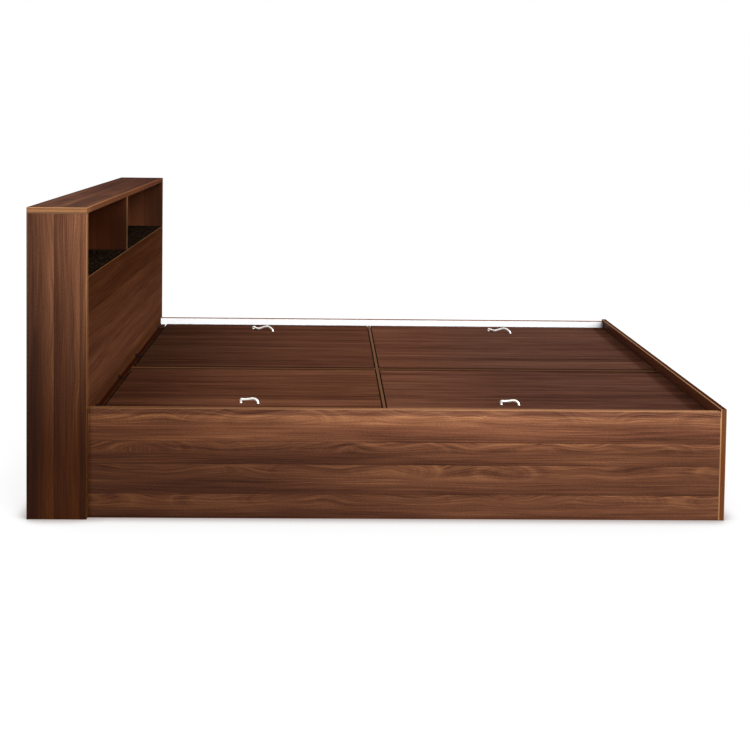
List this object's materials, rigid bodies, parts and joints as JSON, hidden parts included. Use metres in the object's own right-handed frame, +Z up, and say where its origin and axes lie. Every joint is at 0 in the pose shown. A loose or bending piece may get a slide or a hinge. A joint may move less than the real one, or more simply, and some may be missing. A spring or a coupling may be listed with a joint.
{
  "type": "tatami platform bed",
  "caption": "Low platform bed of walnut-look boards with a deep shelf headboard, side rails, footboard, box storage and lift-out deck panels with bow handles.",
  "frame": {"origin": "on the floor under the middle of the overall box", "axes": "+X from the headboard to the footboard, +Y across the bed from the near to the far side, +Z up"},
  "size_m": [2.206, 1.604, 0.98],
  "materials": {
    "walnut_upright": "walnut laminate with upright grain, semi-matt, lighter edge bands",
    "walnut_cross": "walnut laminate with grain across the bed, semi-matt, lighter edge bands",
    "walnut_long": "walnut laminate with grain along the bed, figured, semi-matt, lighter edge bands",
    "walnut_deck": "darker walnut laminate with grain along the bed, semi-gloss",
    "fibre_board": "plain brown board face",
    "speckled_sheet": "near-black laminate with fine pale speckles",
    "white_sheet": "white balancing laminate, semi-gloss",
    "raw_wood": "sawn pale softwood",
    "black_steel": "black powder coat",
    "zinc_steel": "bright zinc plate",
    "bright_metal": "bright plated, slightly satin"
  },
  "bodies": {
    "bed_frame": {"headboard_side_near": "walnut_upright", "headboard_side_far": "walnut_upright", "headboard_top": "walnut_cross", "headboard_back": "fibre_board", "headboard_front": "walnut_cross", "headboard_shelf": "fibre_board", "shelf_sheet": "speckled_sheet", "headboard_divider": "walnut_upright", "headboard_floor_board": "fibre_board", "headboard_ribs": "fibre_board", "side_rail_near": "walnut_long", "side_rail_far": "walnut_long", "rail_liner_near": "white_sheet", "rail_liner_far": "white_sheet", "footboard": "walnut_cross", "head_rail": "walnut_cross", "centre_partition": "walnut_long", "cross_partition_near": "walnut_long", "cross_partition_far": "walnut_long", "side_battens": "raw_wood", "centre_battens": "raw_wood", "cross_battens": "raw_wood", "head_battens": "raw_wood", "foot_battens": "raw_wood", "base_battens": "raw_wood", "base_near_head": "white_sheet", "base_near_foot": "white_sheet", "base_far_head": "white_sheet", "base_far_foot": "white_sheet", "corner_angles": "black_steel", "corner_screws": "zinc_steel", "gap_angles": "black_steel", "gap_screws": "black_steel", "joining_bolts": "zinc_steel", "joining_nuts": "zinc_steel", "cam_discs": "zinc_steel", "cam_bolts": "zinc_steel", "dowels": "raw_wood", "batten_screws": "zinc_steel"},
    "lid_near_head": {"deck_near_head": "walnut_deck", "handle_near_head": "bright_metal", "screws_near_head": "zinc_steel"},
    "lid_near_foot": {"deck_near_foot": "walnut_deck", "handle_near_foot": "bright_metal", "screws_near_foot": "zinc_steel"},
    "lid_far_head": {"deck_far_head": "walnut_deck", "handle_far_head": "bright_metal", "screws_far_head": "zinc_steel"},
    "lid_far_foot": {"deck_far_foot": "walnut_deck", "handle_far_foot": "bright_metal", "screws_far_foot": "zinc_steel"}
  },
  "joints": [
    {"name": "lift_near_head", "type": "slide", "parent": "bed_frame", "child": "lid_near_head", "axis": [0, 0, 1], "range_m": [0, 0.3]},
    {"name": "lift_near_foot", "type": "slide", "parent": "bed_frame", "child": "lid_near_foot", "axis": [0, 0, 1], "range_m": [0, 0.3]},
    {"name": "lift_far_head", "type": "slide", "parent": "bed_frame", "child": "lid_far_head", "axis": [0, 0, 1], "range_m": [0, 0.3]},
    {"name": "lift_far_foot", "type": "slide", "parent": "bed_frame", "child": "lid_far_foot", "axis": [0, 0, 1], "range_m": [0, 0.3]}
  ]
}
